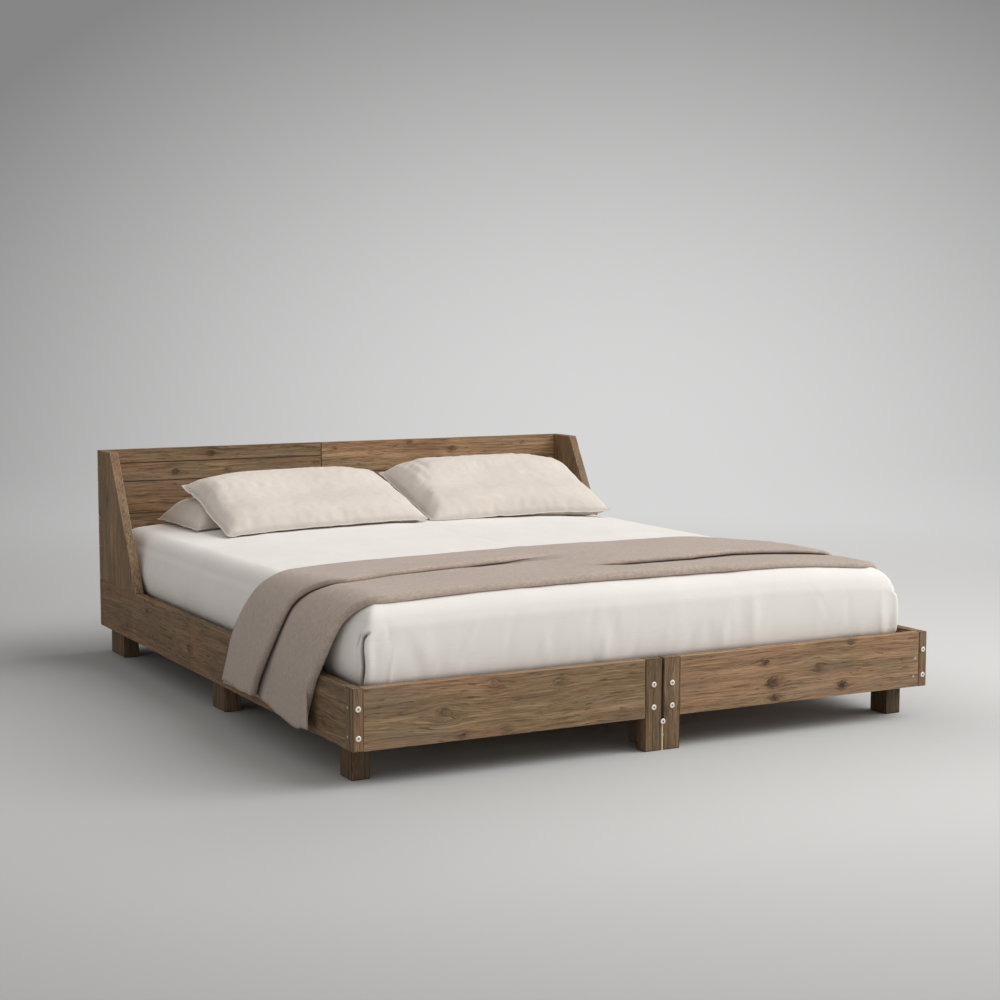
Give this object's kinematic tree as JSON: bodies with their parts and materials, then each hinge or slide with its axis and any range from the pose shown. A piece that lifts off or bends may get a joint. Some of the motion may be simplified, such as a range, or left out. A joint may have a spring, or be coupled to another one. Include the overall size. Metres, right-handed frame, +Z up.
{
  "type": "platform bed",
  "caption": "Low platform bed of weathered boards with plank headboard, tapered wings, slats, mattress pair, fitted sheet, pillows and a folded throw.",
  "frame": {"origin": "on the floor, below the centre of the woodwork", "axes": "+Z up, +X across the bed, +Y along the bed from the foot end to the head end"},
  "size_m": [1.7746, 2.1124, 0.67],
  "materials": {
    "weathered_wood": "weathered, greyed brown boards, matt oil",
    "plain_softwood": "planed, untreated",
    "light_softwood": "planed, untreated",
    "bolt_steel": "nickel plated, satin",
    "nut_steel": "zinc plated",
    "screw_steel": "zinc plated, dull",
    "mattress_ticking": "woven ticking",
    "sheet_cotton": "plain cotton, matt",
    "pillow_linen": "washed linen, matt",
    "throw_weave": "soft woven wool mix"
  },
  "bodies": {
    "frame": {"barrel_nuts": "nut_steel", "beam_bolts": "nut_steel", "centre_beam_left": "plain_softwood", "centre_beam_right": "plain_softwood", "centre_leg_head": "plain_softwood", "centre_leg_middle": "plain_softwood", "centre_post_left": "weathered_wood", "centre_post_right": "weathered_wood", "connector_bolts": "bolt_steel", "corner_block_left": "plain_softwood", "corner_block_right": "plain_softwood", "corner_post_left": "weathered_wood", "corner_post_right": "weathered_wood", "corner_strip_left": "weathered_wood", "corner_strip_right": "weathered_wood", "dowels": "light_softwood", "foot_ledger_left": "plain_softwood", "foot_ledger_right": "plain_softwood", "foot_leg_left": "weathered_wood", "foot_leg_right": "weathered_wood", "foot_rail_left": "weathered_wood", "foot_rail_right": "weathered_wood", "frame_screws": "screw_steel", "head_leg_left": "weathered_wood", "head_leg_right": "weathered_wood", "head_rail_left": "weathered_wood", "head_rail_right": "weathered_wood", "headboard_batten_left": "weathered_wood", "headboard_batten_middle": "weathered_wood", "headboard_batten_right": "weathered_wood", "headboard_plank_high": "weathered_wood", "headboard_plank_low": "weathered_wood", "headboard_plank_middle": "weathered_wood", "headboard_plank_top_right": "weathered_wood", "headboard_screws": "screw_steel", "headboard_strip_lower": "weathered_wood", "headboard_strip_upper": "weathered_wood", "middle_leg_left": "weathered_wood", "middle_leg_right": "weathered_wood", "rail_screws": "screw_steel", "seam_backing_block": "plain_softwood", "seam_laths": "light_softwood", "side_cleat_left": "plain_softwood", "side_cleat_right": "plain_softwood", "side_rail_left": "weathered_wood", "side_rail_right": "weathered_wood", "slat_screws": "screw_steel", "slats_left": "plain_softwood", "slats_right": "plain_softwood", "wing_left": "weathered_wood", "wing_right": "weathered_wood"},
    "mattress": {"mattress_left": "mattress_ticking", "mattress_right": "mattress_ticking", "fitted_sheet": "sheet_cotton"},
    "throw": {"throw": "throw_weave"},
    "pillow_back_left": {"pillow_back_left": "pillow_linen"},
    "pillow_back_right": {"pillow_back_right": "pillow_linen"},
    "pillow_front_left": {"pillow_front_left": "pillow_linen"},
    "pillow_front_right": {"pillow_front_right": "pillow_linen"}
  },
  "joints": [
    {"name": "mattress_lift", "type": "slide", "parent": "frame", "child": "mattress", "axis": [0, 0, 1], "range_m": [0, 0.5]},
    {"name": "throw_lift", "type": "slide", "parent": "mattress", "child": "throw", "axis": [0, 0, 1], "range_m": [0, 0.36]},
    {"name": "pillow_back_left_lift", "type": "slide", "parent": "mattress", "child": "pillow_back_left", "axis": [0, 0, 1], "range_m": [0, 0.25]},
    {"name": "pillow_back_right_lift", "type": "slide", "parent": "mattress", "child": "pillow_back_right", "axis": [0, 0, 1], "range_m": [0, 0.25]},
    {"name": "pillow_front_left_lift", "type": "slide", "parent": "pillow_back_left", "child": "pillow_front_left", "axis": [0, 0, 1], "range_m": [0, 0.25]},
    {"name": "pillow_front_right_lift", "type": "slide", "parent": "pillow_back_right", "child": "pillow_front_right", "axis": [0, 0, 1], "range_m": [0, 0.25]}
  ]
}
